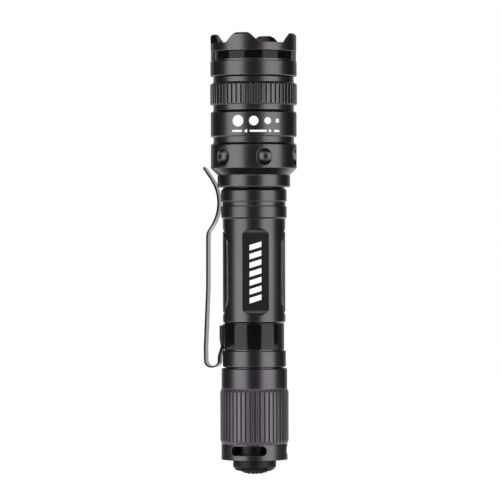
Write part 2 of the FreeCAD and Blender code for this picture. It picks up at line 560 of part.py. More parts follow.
def clip_band():
    """Open snap ring with a raised root, and the inner leg down to the bend."""
    wall = CLIP_THICKNESS
    half = CLIP_WIDTH / 2
    tab_out = CLIP_TAB_D + wall / 2
    ring = tube(CLIP_BAND_IN_R, CLIP_BAND_IN_R + wall, CLIP_BAND_LOW, CLIP_BAND_HIGH)
    opening = math.radians(180 - CLIP_BAND_HALF_ARC)
    side, back = BEYOND * math.sin(opening), BEYOND * math.cos(opening)
    mouth = prism([(0, 0), (side, back), (-side, back)], "XY", CLIP_BAND_LOW - 1, CLIP_BAND_HIGH + 1)
    front = Part.makeBox(2 * (half - wall), BEYOND, BEYOND, Vector(-half + wall, -BEYOND, CLIP_BAND_LOW - 1))
    legs = [Part.makeBox(wall, tab_out - 9, CLIP_TAB_HIGH - CLIP_TAB_LOW, Vector(x, -tab_out, CLIP_TAB_LOW))
            for x in (-half, half - wall)]
    core = disc(CLIP_BAND_IN_R, CLIP_BAND_LOW - 1, CLIP_BAND_HIGH + 1)
    hoop = ring.cut([mouth, front]).fuse(legs).cut(core)
    leg = strip([(CLIP_TAB_D, CLIP_TAB_HIGH), (CLIP_TAB_D, 42.0), (11.15, 39.6), (12.3, 36.2),
                 (12.3, CLIP_BEND_LOW), (CLIP_BEND_D - CLIP_SPLIT_GAP / 2, CLIP_BEND_LOW)],
                [4.0, 2.0, 3.0, 2.45])
    return at_bearing(hoop, CLIP_BEARING).fuse(leg).removeSplitter()


def clip_arm():
    """Free arm of the clip, from the bend to its flared tip."""
    return strip([(CLIP_BEND_D + CLIP_SPLIT_GAP / 2, CLIP_BEND_LOW), (17.2, CLIP_BEND_LOW), (17.3, 39.0),
                  (16.4, 60.0), (16.33, 79.25), (9.2, 90.0), (17.7, 102.3)],
                 [2.2, 15.0, 60.0, 4.0, 15.0])


# ---- the whole light -------------------------------------------------------------------------------
def cell(low):
    top = low + CELL_LENGTH
    body_top = top - CELL_NUB
    return turned([(0, low), (CELL_R - 0.4, low), (CELL_R, low + 0.4), (CELL_R, body_top - 0.4),
                   (CELL_R - 0.4, body_top), (CELL_NUB_R, body_top), (CELL_NUB_R, top - 0.15),
                   (CELL_NUB_R - 0.15, top), (0, top)])


def pieces():
    cells_middle = CELLS_LOW + CELL_LENGTH
    cells_top = cells_middle + CELL_LENGTH
    yield "battery_tube", battery_tube()
    yield "tail_o_ring", o_ring(CAP_BORE_R - 0.65, 0.55, 29.5)
    yield "neck_o_ring", o_ring(NECK_R - 0.5, 0.5, 97.9)
    yield "battery_rear", cell(CELLS_LOW)
    yield "battery_front", cell(cells_middle)
    yield "head_shell", head_shell()
    yield "focus_ring", focus_ring()
    yield "focus_ring_washers", focus_ring_washers()
    yield "front_ring", front_ring()
    yield "window_liner", window_liner()
    yield "crown_ring", crown_ring()
    yield "lens_carrier", lens_carrier()
    yield "cam_pins", cam_pins()
    yield "lens", lens()
    yield "lens_o_ring", o_ring(LENS_R - 0.35, 0.35, LENS_BACK + LENS_EDGE + 0.35)
    yield "lens_retaining_ring", tube(LENS_DOME_R - 0.2, LENS_R + WASHER_GAP, 133.7, CARRIER_HIGH)
    yield "led_pill", led_pill()
    yield "pill_retaining_ring", tube(PILL_R + WASHER_GAP, PILL_FLANGE_R, PILL_SEAT, PILL_NUT_HIGH)
    yield "led_board", led_board()
    yield "led_emitter", led_emitter()
    yield "led_leads", led_leads()
    yield "driver_board", disc(PILL_BORE_R - WASHER_GAP, DRIVER_LOW, DRIVER_HIGH)
    yield "driver_spring", coil(0.3, 2.0, 4.0, cells_top + 0.05, DRIVER_LOW, 3)
    yield "tail_cap", tail_cap()
    yield "boot_flange", tube(BOOT_R - BOOT_WALL, 9.2, WEB_HIGH, FLANGE_TOP)
    yield "boot_washer", tube(5.6, 9.3, FLANGE_TOP, BOOT_WASHER_TOP)
    yield "switch_housing", switch_housing()
    yield "switch_board", disc(9.3, SWITCH_BOARD_LOW, SWITCH_BOARD_TOP)
    yield "switch_retaining_ring", tube(7.8, SWITCH_BORE_R, SWITCH_BOARD_TOP, 14.7)
    yield "tail_spring", coil(0.4, 5.8, 3.2, SWITCH_BOARD_TOP, CELLS_LOW - 0.05, 4)
    yield "switch_boot", switch_boot()
    yield "switch_plunger", switch_plunger()
    yield "switch_spring", coil(0.25, 3.2, 3.2, 7.5, SWITCH_BOARD_LOW - 0.5, 4)
    yield "clip_band", clip_band()
    yield "clip_arm", clip_arm()


os.makedirs("parts", exist_ok=True)
for piece_name, piece_shape in pieces():
    export(piece_name, piece_shape)
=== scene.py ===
"""Looks of a tactical flashlight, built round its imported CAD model.

Lengths are in metres and positions come from the frame's own boxes.  +Z runs up the light, the front faces
-Y, and bearings are angles round the axis from the front, turning towards +X.
"""
import json
import math

import bpy
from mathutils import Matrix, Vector


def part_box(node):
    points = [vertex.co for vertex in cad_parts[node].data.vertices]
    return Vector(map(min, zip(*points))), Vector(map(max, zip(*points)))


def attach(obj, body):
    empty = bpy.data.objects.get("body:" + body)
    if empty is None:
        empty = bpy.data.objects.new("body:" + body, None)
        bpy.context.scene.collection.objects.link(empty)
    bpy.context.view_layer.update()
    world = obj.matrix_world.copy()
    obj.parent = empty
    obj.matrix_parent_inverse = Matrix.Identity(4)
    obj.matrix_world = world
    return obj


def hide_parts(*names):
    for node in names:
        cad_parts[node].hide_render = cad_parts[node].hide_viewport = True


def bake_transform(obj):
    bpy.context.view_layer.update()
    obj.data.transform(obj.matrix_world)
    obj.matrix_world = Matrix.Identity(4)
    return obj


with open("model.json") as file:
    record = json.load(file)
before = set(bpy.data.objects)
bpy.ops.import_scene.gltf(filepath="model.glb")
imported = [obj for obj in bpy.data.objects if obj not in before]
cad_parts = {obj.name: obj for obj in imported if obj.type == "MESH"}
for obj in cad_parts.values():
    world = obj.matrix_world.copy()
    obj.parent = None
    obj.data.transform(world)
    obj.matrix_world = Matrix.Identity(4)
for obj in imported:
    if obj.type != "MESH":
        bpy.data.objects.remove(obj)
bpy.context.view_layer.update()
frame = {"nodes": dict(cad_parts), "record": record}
MM = 0.001


# ---- camera and light ------------------------------------------------------------------------------
def aim(obj, target):
    obj.rotation_euler = (Vector(target) - obj.location).to_track_quat("-Z", "Y").to_euler()


def add_camera():
    """Long-lens, level view from just left of the front."""
    azimuth = math.radians(-3.2)
    roll = math.radians(-0.16)
    distance = 1.396
    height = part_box("tail_cap")[0].z + 73.3 * MM
    side_step = -1.4 * MM
    camera_data = bpy.data.cameras.new("camera")
    camera_data.lens = 287.3
    camera_data.sensor_width = 36.0
    camera_data.clip_end = 20.0
    camera = bpy.data.objects.new("camera", camera_data)
    right = Vector((math.cos(azimuth), math.sin(azimuth), 0))
    target = Vector((0, 0, height)) + right * side_step
    camera.location = target + Vector((math.sin(azimuth), -math.cos(azimuth), 0)) * distance
    aim(camera, target)
    camera.rotation_euler.rotate_axis("Z", roll)
    bpy.context.scene.collection.objects.link(camera)
    bpy.context.scene.camera = camera


LIGHT_DISTANCE = 0.9


def add_softbox(name, bearing, elevation, half_width, half_height, radiance):
    """Area light round the torch's middle; its angles are in degrees as seen from there."""
    width = 2 * LIGHT_DISTANCE * math.tan(math.radians(half_width))
    height = 2 * LIGHT_DISTANCE * math.tan(math.radians(half_height))
    light = bpy.data.lights.new(name, "AREA")
    light.shape = "RECTANGLE"
    light.size = width
    light.size_y = height
    light.energy = radiance * math.pi * width * height
    lamp = bpy.data.objects.new(name, light)
    turn, tilt = math.radians(bearing), math.radians(elevation)
    level = LIGHT_DISTANCE * math.cos(tilt)
    lamp.location = (level * math.sin(turn), -level * math.cos(turn), LIGHT_DISTANCE * math.sin(tilt))
    aim(lamp, (0, 0, 0))
    lamp.visible_camera = False
    bpy.context.scene.collection.objects.link(lamp)


def add_surroundings():
    """White seamless background, with only a faint fill from it on the torch."""
    fill_strength = 0.045
    scene = bpy.context.scene
    scene.view_settings.view_transform = "Standard"
    world = bpy.data.worlds.new("studio")
    scene.world = world
    world.use_nodes = True
    nodes, links = world.node_tree.nodes, world.node_tree.links
    path = nodes.new("ShaderNodeLightPath")
    seen = nodes["Background"]
    seen.inputs["Color"].default_value = (1, 1, 1, 1)
    seen.inputs["Strength"].default_value = 1.0
    fill = nodes.new("ShaderNodeBackground")
    fill.inputs["Color"].default_value = (1, 1, 1, 1)
    fill.inputs["Strength"].default_value = fill_strength
    mix = nodes.new("ShaderNodeMixShader")
    links.new(path.outputs["Is Camera Ray"], mix.inputs[0])
    links.new(fill.outputs[0], mix.inputs[1])
    links.new(seen.outputs[0], mix.inputs[2])
    links.new(mix.outputs[0], nodes["World Output"].inputs["Surface"])


def add_floor():
    """White floor clear of the unscrewed tail cap; it is seen but throws no light up on the torch."""
    half = 3.0
    clearance = 14 * MM
    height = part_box("switch_boot")[0].z - clearance
    mesh = bpy.data.meshes.new("floor")
    mesh.from_pydata([(-half, -half, height), (half, -half, height), (half, half, height),
                      (-half, half, height)], [], [(0, 1, 2, 3)])
    material, _, _, shader = new_material("floor")
    shader.inputs["Base Color"].default_value = (0.3, 0.3, 0.3, 1)
    shader.inputs["Emission Color"].default_value = (1, 1, 1, 1)
    shader.inputs["Emission Strength"].default_value = 1.0
    mesh.materials.append(material)
    floor = bpy.data.objects.new("floor", mesh)
    floor.visible_glossy = False
    floor.visible_diffuse = False
    floor.visible_shadow = False
    bpy.context.scene.collection.objects.link(floor)


def add_studio():
    """Two wide front boxes, a strip above, a wall behind for the rims, and four low boxes for lower edges.

    Each box has a bearing, an elevation, half its width and half its height in degrees, and a radiance.
    """
    add_surroundings()
    add_softbox("box_left", -55.5, -6, 25, 33, 2.1)
    add_softbox("box_right", 48.5, -6, 25, 33, 2.1)
    add_softbox("wall_behind", 176.5, 0, 42, 29, 0.38)
    add_softbox("box_high", -3.5, 36, 44, 4, 2.6)
    add_softbox("low_front", -3.5, -42, 34, 7, 1.3)
    add_softbox("low_left", -105, -30, 24, 16, 1.1)
    add_softbox("low_right", 98, -30, 24, 16, 1.1)
    add_softbox("low_back", 176.5, -30, 34, 16, 1.1)


# ---- materials -------------------------------------------------------------------------------------
EDGE_ROUNDING = 0.16 * MM
NOISE_LOW, NOISE_HIGH = 0.3, 0.7
PATCH_SCALE, PATCH_DETAIL = 60, 4.0
GRAIN_DETAIL = 2.0


def new_material(name):
    material = bpy.data.materials.new(name)
    material.use_nodes = True
    shader = material.node_tree.nodes["Principled BSDF"]
    return material, material.node_tree.nodes, material.node_tree.links, shader


def noise(nodes, links, scale, detail):
    """Noise in the part's own frame, in features per metre."""
    place = nodes.new("ShaderNodeTexCoord")
    texture = nodes.new("ShaderNodeTexNoise")
    texture.inputs["Scale"].default_value = scale
    texture.inputs["Detail"].default_value = detail
    links.new(place.outputs["Object"], texture.inputs["Vector"])
    return texture


def ramp_between(nodes, links, source, low, high):
    """Maps the usual spread of a noise value to the range low..high."""
    spread = nodes.new("ShaderNodeMapRange")
    spread.inputs["From Min"].default_value = NOISE_LOW
    spread.inputs["From Max"].default_value = NOISE_HIGH
    spread.inputs["To Min"].default_value = low
    spread.inputs["To Max"].default_value = high
    links.new(source, spread.inputs["Value"])
    return spread.outputs["Result"]


def colour_between(nodes, links, source, dark, light):
    """Blends two colours over the usual spread of a noise value."""
    ramp = nodes.new("ShaderNodeValToRGB")
    ramp.color_ramp.elements[0].position = NOISE_LOW
    ramp.color_ramp.elements[1].position = NOISE_HIGH
    ramp.color_ramp.elements[0].color = (*dark, 1)
    ramp.color_ramp.elements[1].color = (*light, 1)
    links.new(source, ramp.inputs["Fac"])
    return ramp.outputs["Color"]


def rounded_normal(nodes, radius=EDGE_ROUNDING):
    """Normal that turns smoothly over every sharp edge, as on tumbled metal."""
    rounding = nodes.new("ShaderNodeBevel")
    rounding.samples = 6
    rounding.inputs["Radius"].default_value = radius
    return rounding.outputs["Normal"]


def add_bump(nodes, links, shader, normal, source, distance):
    """Fine grain laid over the rounded normal."""
    bump = nodes.new("ShaderNodeBump")
    bump.inputs["Distance"].default_value = distance
    links.new(normal, bump.inputs["Normal"])
    links.new(source, bump.inputs["Height"])
    links.new(bump.outputs["Normal"], shader.inputs["Normal"])


def painted_edge_glint(nodes, links, normal, colour, glint_colour):
    """Painted highlight: paler colour on a thin line along the edges, standing in for light glinting off
    small rounded edges.

    An edge is where the cosine between the rounded normal and the flat one falls from start to full.
    """
    start, full = 0.985, 0.88
    geometry = nodes.new("ShaderNodeNewGeometry")
    agreement = nodes.new("ShaderNodeVectorMath")
    agreement.operation = "DOT_PRODUCT"
    links.new(normal, agreement.inputs[0])
    links.new(geometry.outputs["Normal"], agreement.inputs[1])
    amount = nodes.new("ShaderNodeMapRange")
    amount.inputs["From Min"].default_value = start
    amount.inputs["From Max"].default_value = full
    links.new(agreement.outputs["Value"], amount.inputs["Value"])
    mix = nodes.new("ShaderNodeMixRGB")
    mix.inputs["Color2"].default_value = (*glint_colour, 1)
    links.new(amount.outputs["Result"], mix.inputs["Fac"])
    links.new(colour, mix.inputs["Color1"])
    return mix.outputs["Color"]


def height_band(nodes, links, low, high):
    """1 between two heights of the part's own frame and 0 elsewhere."""
    place = nodes.new("ShaderNodeTexCoord")
    split = nodes.new("ShaderNodeSeparateXYZ")
    links.new(place.outputs["Object"], split.inputs["Vector"])
    within = nodes.new("ShaderNodeMath")
    within.operation = "COMPARE"
    within.inputs[1].default_value = (low + high) / 2
    within.inputs[2].default_value = (high - low) / 2
    links.new(split.outputs["Z"], within.inputs[0])
    return within.outputs["Value"]


def finish_material(name, dark, light, rough_low, rough_high, grain, grain_depth, metallic=0.0, specular=0.5,
                    glint_colour=None, painted_glow=0.0, rounding=EDGE_ROUNDING):
    """Colour and roughness that vary over large soft patches, with a fine grain in the surface, and
    optionally a painted highlight along the edges and a painted glow.
    """
    material, nodes, links, shader = new_material(name)
    patches = noise(nodes, links, PATCH_SCALE, PATCH_DETAIL)
    fine = noise(nodes, links, grain, GRAIN_DETAIL)
    normal = rounded_normal(nodes, rounding)
    colour = colour_between(nodes, links, patches.outputs["Fac"], dark, light)
    # painted highlight: a pale line along every edge, standing in for light glinting off it
    if glint_colour:
        colour = painted_edge_glint(nodes, links, normal, colour, glint_colour)
    links.new(colour, shader.inputs["Base Color"])
    links.new(ramp_between(nodes, links, fine.outputs["Fac"], rough_low, rough_high),
              shader.inputs["Roughness"])
    add_bump(nodes, links, shader, normal, fine.outputs["Fac"], grain_depth)
    shader.inputs["Metallic"].default_value = metallic
    shader.inputs["Specular IOR Level"].default_value = specular
    # painted light: a glow of the surface's own, used by the print only
    shader.inputs["Emission Color"].default_value = (*light, 1)
    shader.inputs["Emission Strength"].default_value = painted_glow
    return material


def knurled_cap_material():
    """Anodised tail cap whose ribbed band is coarser and paler than its turned bands."""
    low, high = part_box("tail_cap")[0].z + 5.9 * MM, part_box("tail_cap")[0].z + 25.0 * MM
    plain, ribbed = (0.112, 0.102, 0.114), (0.142, 0.131, 0.145)
    patch_shade = (0.93, 0.93, 0.93)
    # colour of the painted highlight along the cap's edges
    glint_colour = (0.32, 0.30, 0.33)
    plain_rough, ribbed_rough, rough_spread = 0.31, 0.42, 0.03
    grain, grain_depth = 9000, 1.5e-6
    material, nodes, links, shader = new_material("anodised_cap")
    band = height_band(nodes, links, low, high)
    patches = noise(nodes, links, PATCH_SCALE, PATCH_DETAIL)
    fine = noise(nodes, links, grain, GRAIN_DETAIL)
    mix = nodes.new("ShaderNodeMixRGB")
    mix.inputs["Color1"].default_value = (*plain, 1)
    mix.inputs["Color2"].default_value = (*ribbed, 1)
    links.new(band, mix.inputs["Fac"])
    shade = nodes.new("ShaderNodeMixRGB")
    shade.blend_type = "MULTIPLY"
    shade.inputs["Fac"].default_value = 1.0
    links.new(mix.outputs["Color"], shade.inputs["Color1"])
    tint = colour_between(nodes, links, patches.outputs["Fac"], patch_shade, (1, 1, 1))
    links.new(tint, shade.inputs["Color2"])
    normal = rounded_normal(nodes)
    # painted highlight along the cap's edges
    links.new(painted_edge_glint(nodes, links, normal, shade.outputs["Color"], glint_colour), shader.inputs["Base Color"])
    rough = nodes.new("ShaderNodeMath")
    rough.operation = "MULTIPLY_ADD"
    rough.inputs[1].default_value = ribbed_rough - plain_rough
    links.new(band, rough.inputs[0])
    links.new(ramp_between(nodes, links, fine.outputs["Fac"], plain_rough - rough_spread,
                           plain_rough + rough_spread), rough.inputs[2])
    links.new(rough.outputs["Value"], shader.inputs["Roughness"])
    add_bump(nodes, links, shader, normal, fine.outputs["Fac"], grain_depth)
    shader.inputs["Metallic"].default_value = 1.0
    return material


# Each finish: dark and light colour, low and high roughness, grain in features per metre and its depth.
FINISHES = {
    # The anodised finishes' edge colour paints a highlight along every edge, standing in for glints of
    # light.
    "anodised": ((0.098, 0.094, 0.091), (0.112, 0.108, 0.105), 0.28, 0.33, 9000, 1.5e-6,
                 {"metallic": 1.0, "glint_colour": (0.50, 0.49, 0.48)}),
    "anodised_tube": ((0.094, 0.093, 0.095), (0.108, 0.107, 0.109), 0.28, 0.33, 9000, 1.5e-6,
                      {"metallic": 1.0, "glint_colour": (0.50, 0.49, 0.50)}),
    "gloss_liner": ((0.003, 0.003, 0.003), (0.005, 0.005, 0.005), 0.10, 0.14, 4000, 5e-7,
                    {"specular": 0.26}),
    "clip_steel": ((0.003, 0.003, 0.003), (0.005, 0.005, 0.005), 0.10, 0.15, 6000, 5e-7, {"specular": 0.36}),
    "clip_inside": ((0.80, 0.80, 0.80), (0.86, 0.86, 0.86), 0.22, 0.28, 6000, 5e-7, {"metallic": 1.0}),
    "boot_rubber": ((0.006, 0.006, 0.006), (0.011, 0.011, 0.011), 0.30, 0.42, 3500, 2e-5,
                    {"specular": 0.24, "rounding": 0.04 * MM}),
    "seal_rubber": ((0.012, 0.012, 0.012), (0.02, 0.02, 0.02), 0.35, 0.5, 5000, 3e-6, {}),
    "bare_aluminium": ((0.62, 0.63, 0.64), (0.70, 0.71, 0.72), 0.24, 0.34, 8000, 1e-6, {"metallic": 1.0}),
    "spring_steel": ((0.60, 0.58, 0.54), (0.70, 0.68, 0.63), 0.2, 0.3, 8000, 1e-6, {"metallic": 1.0}),
    "pin_steel": ((0.55, 0.55, 0.56), (0.62, 0.62, 0.63), 0.2, 0.3, 8000, 1e-6, {"metallic": 1.0}),
    "brass_ring": ((0.70, 0.52, 0.24), (0.80, 0.61, 0.31), 0.22, 0.32, 8000, 1e-6, {"metallic": 1.0}),
    "glide_plastic": ((0.004, 0.004, 0.004), (0.006, 0.006, 0.006), 0.5, 0.6, 6000, 2e-6, {"specular": 0.2}),
    "switch_plastic": ((0.02, 0.02, 0.02), (0.03, 0.03, 0.03), 0.4, 0.5, 6000, 2e-6, {}),
    "plunger_plastic": ((0.62, 0.61, 0.57), (0.70, 0.69, 0.64), 0.4, 0.5, 6000, 2e-6, {}),
    "board": ((0.012, 0.10, 0.03), (0.02, 0.14, 0.045), 0.3, 0.4, 6000, 2e-6, {}),
    "led": ((0.80, 0.62, 0.10), (0.88, 0.70, 0.16), 0.2, 0.3, 6000, 1e-6, {}),
    "wire": ((0.40, 0.015, 0.015), (0.50, 0.02, 0.02), 0.3, 0.4, 6000, 1e-6, {}),
    "cell_wrap": ((0.38, 0.39, 0.40), (0.46, 0.47, 0.48), 0.25, 0.35, 6000, 1e-6, {"metallic": 0.8}),
    # The print's glow is painted light: it shines a little by itself, so it reads whiter than the lamps
    # alone make it.
    "print": ((0.84, 0.84, 0.83), (0.90, 0.90, 0.89), 0.5, 0.6, 9000, 1e-6, {"specular": 0.3, "painted_glow": 0.25}),
}


def lens_material():
    """Clear polished glass with the faintest unevenness."""
    unevenness = 400
    rough_low, rough_high = 0.01, 0.03
    dark, light = (0.95, 0.97, 0.97), (0.98, 0.99, 0.99)
    material, nodes, links, shader = new_material("lens_glass")
    fine = noise(nodes, links, unevenness, GRAIN_DETAIL)
    links.new(ramp_between(nodes, links, fine.outputs["Fac"], rough_low, rough_high),
              shader.inputs["Roughness"])
    links.new(colour_between(nodes, links, fine.outputs["Fac"], dark, light), shader.inputs["Base Color"])
    shader.inputs["Transmission Weight"].default_value = 1.0
    shader.inputs["IOR"].default_value = 1.49
    return material


MATERIALS = {name: finish_material(name, *looks, **options)
             for name, (*looks, options) in FINISHES.items()}
MATERIALS["anodised_cap"] = knurled_cap_material()
MATERIALS["lens_glass"] = lens_material()
OWN_MATERIALS = {"battery_tube": "anodised_tube"}


def dress_cad_nodes():
    """Gives every CAD node its own material, or else that of its slot in the record."""
    for part in frame["record"]["subparts"]:
        mesh = frame["nodes"][part["node"]].data
        mesh.materials.clear()
        mesh.materials.append(MATERIALS[OWN_MATERIALS.get(part["node"], part["material_slot"])])


# ---- shapes made here ------------------------------------------------------------------------------
TAIL_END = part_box("tail_cap")[0].z
CLIP_BEARING = math.radians(-105.2)


def up(height_mm):
    """Height in the frame of a point so many millimetres above the tail cap's end plane."""
    return TAIL_END + height_mm * MM


def add_piece(name, vertices, faces, material, smooth=True):
    """Links a new mesh piece with one of the materials above."""
    mesh = bpy.data.meshes.new(name)
    mesh.from_pydata([tuple(vertex) for vertex in vertices], [], faces)
    mesh.materials.append(MATERIALS[material])
    mesh.polygons.foreach_set("use_smooth", [smooth] * len(mesh.polygons))
    mesh.update()
    piece = bpy.data.objects.new(name, mesh)
    bpy.context.scene.collection.objects.link(piece)
    return piece


def grid_faces(rows, columns, closed_columns=False, first=0):
    """Quads between the points of a grid that is stored row by row."""
    faces = []
    for row in range(rows - 1):
        for column in range(columns if closed_columns else columns - 1):
            after = (column + 1) % columns
            corner, beside = first + row * columns + column, first + row * columns + after
            faces.append((corner, beside, beside + columns, corner + columns))
    return faces


def printed_plates(outlines, place, depth):
    """Thin closed plates over star-shaped outlines; place(across, up) puts a point on the surface.

    Each plate is ringed inwards to its middle, so that a wide one follows a curved surface.
    """
    rings = 5
    vertices, faces = [], []
    for outline in outlines:
        count = len(outline)
        middle_x = sum(x for x, _ in outline) / count
        middle_y = sum(y for _, y in outline) / count
        first = len(vertices)
        for sunk in (False, True):
            for ring in range(rings):
                share = 1 - ring / rings
                for x, y in outline:
                    point, inward = place(middle_x + (x - middle_x) * share,
                                          middle_y + (y - middle_y) * share)
                    vertices.append(point + inward * (depth if sunk else 0))
            point, inward = place(middle_x, middle_y)
            vertices.append(point + inward * (depth if sunk else 0))
        side = rings * count + 1
        front = grid_faces(rings, count, closed_columns=True, first=first)
        inner = first + (rings - 1) * count
        front += [(inner + index, inner + (index + 1) % count, first + side - 1) for index in range(count)]
        faces += front
        faces += [tuple(index + side for index in reversed(face)) for face in front]
        faces += [(first + index, first + side + index, first + side + (index + 1) % count,
                   first + (index + 1) % count) for index in range(count)]
    return vertices, faces


def make_zoom_print():
    """White zoom scale on the head: four shrinking spots over a row of three bars and two arrowheads.

    Heights and diameters are in millimetres, and places round the head are bearings in degrees.
    """
    radius = 15.05 * MM
    depth = 0.05 * MM
    spot_height, row_height = 118.1, 114.56
    arrow_half, bar_half = 0.68, 0.36
    segment = 2.0

    def place(across_mm, up_mm):
        angle = across_mm * MM / radius
        outward = Vector((math.sin(angle), -math.cos(angle), 0))
        return outward * radius + Vector((0, 0, up(up_mm))), -outward

    def at(bearing_degrees):
        return math.radians(bearing_degrees) * radius / MM

    def spot(bearing, diameter, corners=40):
        turn = math.pi / corners
        return [(at(bearing) + diameter / 2 * math.cos(turn + 2 * math.pi * index / corners),
                 spot_height + diameter / 2 * math.sin(turn + 2 * math.pi * index / corners))
                for index in range(corners)]

    def bar(first, last):
        """Slim bar between two bearings, with enough points to follow the curve."""
        steps = max(2, int((last - first) / segment) + 1)
        low = [(at(first + (last - first) * index / steps), row_height - bar_half)
               for index in range(steps + 1)]
        return low + [(x, row_height + bar_half) for x, _ in reversed(low)]

    def arrow(tip, base):
        side = math.copysign(arrow_half, base - tip)
        return [(at(tip), row_height), (at(base), row_height - side), (at(base), row_height + side)]

    outlines = [spot(-24.6, 4.0), spot(-3.1, 3.3), spot(15.7, 2.4), spot(29.9, 1.9, corners=4)]
    outlines += [bar(-33.0, -19.0), arrow(-16.5, -12.0), bar(-8.5, 14.5)]
    outlines += [arrow(21.5, 17.5), bar(25.0, 33.0)]
    piece = add_piece("zoom_scale_print", *printed_plates(outlines, place, depth), "print", smooth=False)
    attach(piece, "light_body")


def make_panel_print():
    """Plain slanted bars printed up the flat front panel."""
    panel_y = -9.90 * MM
    raised, depth = 0.02 * MM, 0.04 * MM
    low, high, left, right, slant = 54.7, 76.3, -2.15, 2.0, 1.3
    bars, bar_share = 7, 0.62
    pitch = (high - low - slant) / (bars - 1 + bar_share)

    def place(across_mm, up_mm):
        return Vector((across_mm * MM, panel_y - raised, up(up_mm))), Vector((0, 1, 0))

    outlines = []
    for index in range(bars):
        base = low + index * pitch
        top = base + bar_share * pitch
        outlines.append([(left, base), (right, base + slant), (right, top + slant), (left, top)])
    piece = add_piece("panel_print", *printed_plates(outlines, place, depth), "print", smooth=False)
    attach(piece, "light_body")


def pebble_lift(ring_r, angle, pitch, low, high):
    """Height of the rubber's pebbles at a point; every pebble has its own height, from low to high.

    The heights look random, but come from the pebble's row and place in it, so they are the same each run.
    """
    row_step, pebble_step, scramble = 12.9898, 78.233, 43758.5453
    row = round(ring_r / pitch)
    around = max(1, round(2 * math.pi * row))
    along = angle * around / (2 * math.pi) + 0.5 * (row % 2)
    pebble = round(along) % around
    spread = math.hypot(ring_r - row * pitch, (along - round(along)) * pitch) / (pitch / 2)
    share = (math.sin(row * row_step + pebble * pebble_step) * scramble) % 1.0
    return (low + (high - low) * share) * max(0.0, 1.0 - spread ** 2)


def make_rubber_boot():
    """Tail switch boot: a soft cylinder with a rounded shoulder and a pebbled dome.

    Sizes are in millimetres, and heights are above the tail cap's end plane.
    """
    radius, wall = 7.55, 1.1
    flange_r, flange_low, flange_high, flange_fillet = 9.15, 7.62, 8.75, 0.2
    side_heights = (4.0, 0.5)
    shoulder, corner, corner_tuck = -2.75, 0.55, 0.35
    corner_angles = range(15, 90, 15)
    dome_depth = 1.8
    hollow_r, hollow_edge, hollow_side = 0.15, 0.4, 2.0
    pebble_pitch, pebble_low, pebble_high = 0.95, 0.12, 0.55
    rings, turns = 48, 320
    dome_edge = radius - corner
    sphere = (dome_edge ** 2 + dome_depth ** 2) / (2 * dome_depth)
    dome_low = shoulder - corner * corner_tuck
    profile = [(radius - wall, flange_high), (flange_r, flange_high), (flange_r, flange_low),
               (radius + flange_fillet, flange_low), (radius, flange_low - flange_fillet)]
    profile += [(radius, height) for height in (*side_heights, shoulder + corner)]
    profile += [(dome_edge + corner * math.cos(math.radians(angle)),
                 shoulder + corner - corner * (1 + corner_tuck) * math.sin(math.radians(angle)))
                for angle in corner_angles]
    first_dome_ring = len(profile)
    for index in range(rings + 1):
        ring_r = dome_edge * (1 - index / (rings + 0.5))
        profile.append((ring_r, dome_low - (math.sqrt(sphere ** 2 - ring_r ** 2) - (sphere - dome_depth))))
    last_dome_ring = len(profile) - 1
    profile += [(hollow_r, dome_low - dome_depth + wall), (dome_edge - wall, dome_low + hollow_edge),
                (radius - wall, shoulder + hollow_side)]
    vertices = []
    for index, (ring_r, height) in enumerate(profile):
        pebbled = first_dome_ring <= index <= last_dome_ring
        for step in range(turns):
            angle = 2 * math.pi * step / turns
            lift = pebble_lift(ring_r, angle, pebble_pitch, pebble_low, pebble_high) if pebbled else 0
            vertices.append(Vector((ring_r * MM * math.sin(angle), -ring_r * MM * math.cos(angle),
                                    up(height - lift))))
    rows = len(profile)
    faces = grid_faces(rows, turns, closed_columns=True)
    last = (rows - 1) * turns
    faces += [(last + step, last + (step + 1) % turns, (step + 1) % turns, step) for step in range(turns)]
    piece = add_piece("rubber_boot", vertices, faces, "boot_rubber")
    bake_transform(piece)
    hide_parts("switch_boot", "boot_flange")


def make_switch_coil():
    """Round-wire coil of the switch; it fills the CAD spring's box."""
    low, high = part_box("switch_spring")
    turns, wire_r, steps_per_turn, sides = 4, 0.25 * MM, 36, 10
    coil_r = (high.x - low.x) / 2 - wire_r
    bottom, top = low.z + wire_r, high.z - wire_r
    steps = turns * steps_per_turn
    vertices = []
    for step in range(steps + 1):
        angle = 2 * math.pi * step / steps_per_turn
        outward = Vector((math.cos(angle), math.sin(angle), 0))
        centre = outward * coil_r + Vector((0, 0, bottom + (top - bottom) * step / steps))
        for side in range(sides):
            turn = 2 * math.pi * side / sides
            vertices.append(centre + (outward * math.cos(turn) + Vector((0, 0, math.sin(turn)))) * wire_r)
    faces = grid_faces(steps + 1, sides, closed_columns=True)
    faces.append(tuple(range(sides - 1, -1, -1)))
    faces.append(tuple(range(steps * sides, (steps + 1) * sides)))
    piece = add_piece("switch_coil", vertices, faces, "spring_steel")
    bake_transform(piece)
    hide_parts("switch_spring")


# ---- pocket clip -----------------------------------------------------------------------------------
# Millimetres across the clip, out from the light's axis and up from the tail cap's end plane.
STRIP_HALF_WIDTH, STRIP_HALF_THICK, STRIP_EDGE = 2.75, 0.25, 0.11
RUBBED_FROM = -1.7
LEG_POINTS = [(11.6, 46.9), (11.6, 42.0), (11.15, 39.6), (12.3, 36.2), (12.3, 32.4)]
ARM_POINTS = [(17.2, 32.4), (17.3, 39.0), (16.4, 60.0), (16.33, 79.25), (9.2, 90.0), (17.7, 102.3)]
BEND_RADII = [4.0, 2.0, 3.0, 2.3, 2.2, 15.0, 60.0, 4.0, 15.0]
# Corners of a rounded section in order: its side across, its side outwards and the first angle of its arc.
SECTION_CORNERS = ((1, 1, 0), (-1, 1, 90), (-1, -1, 180), (1, -1, 270))


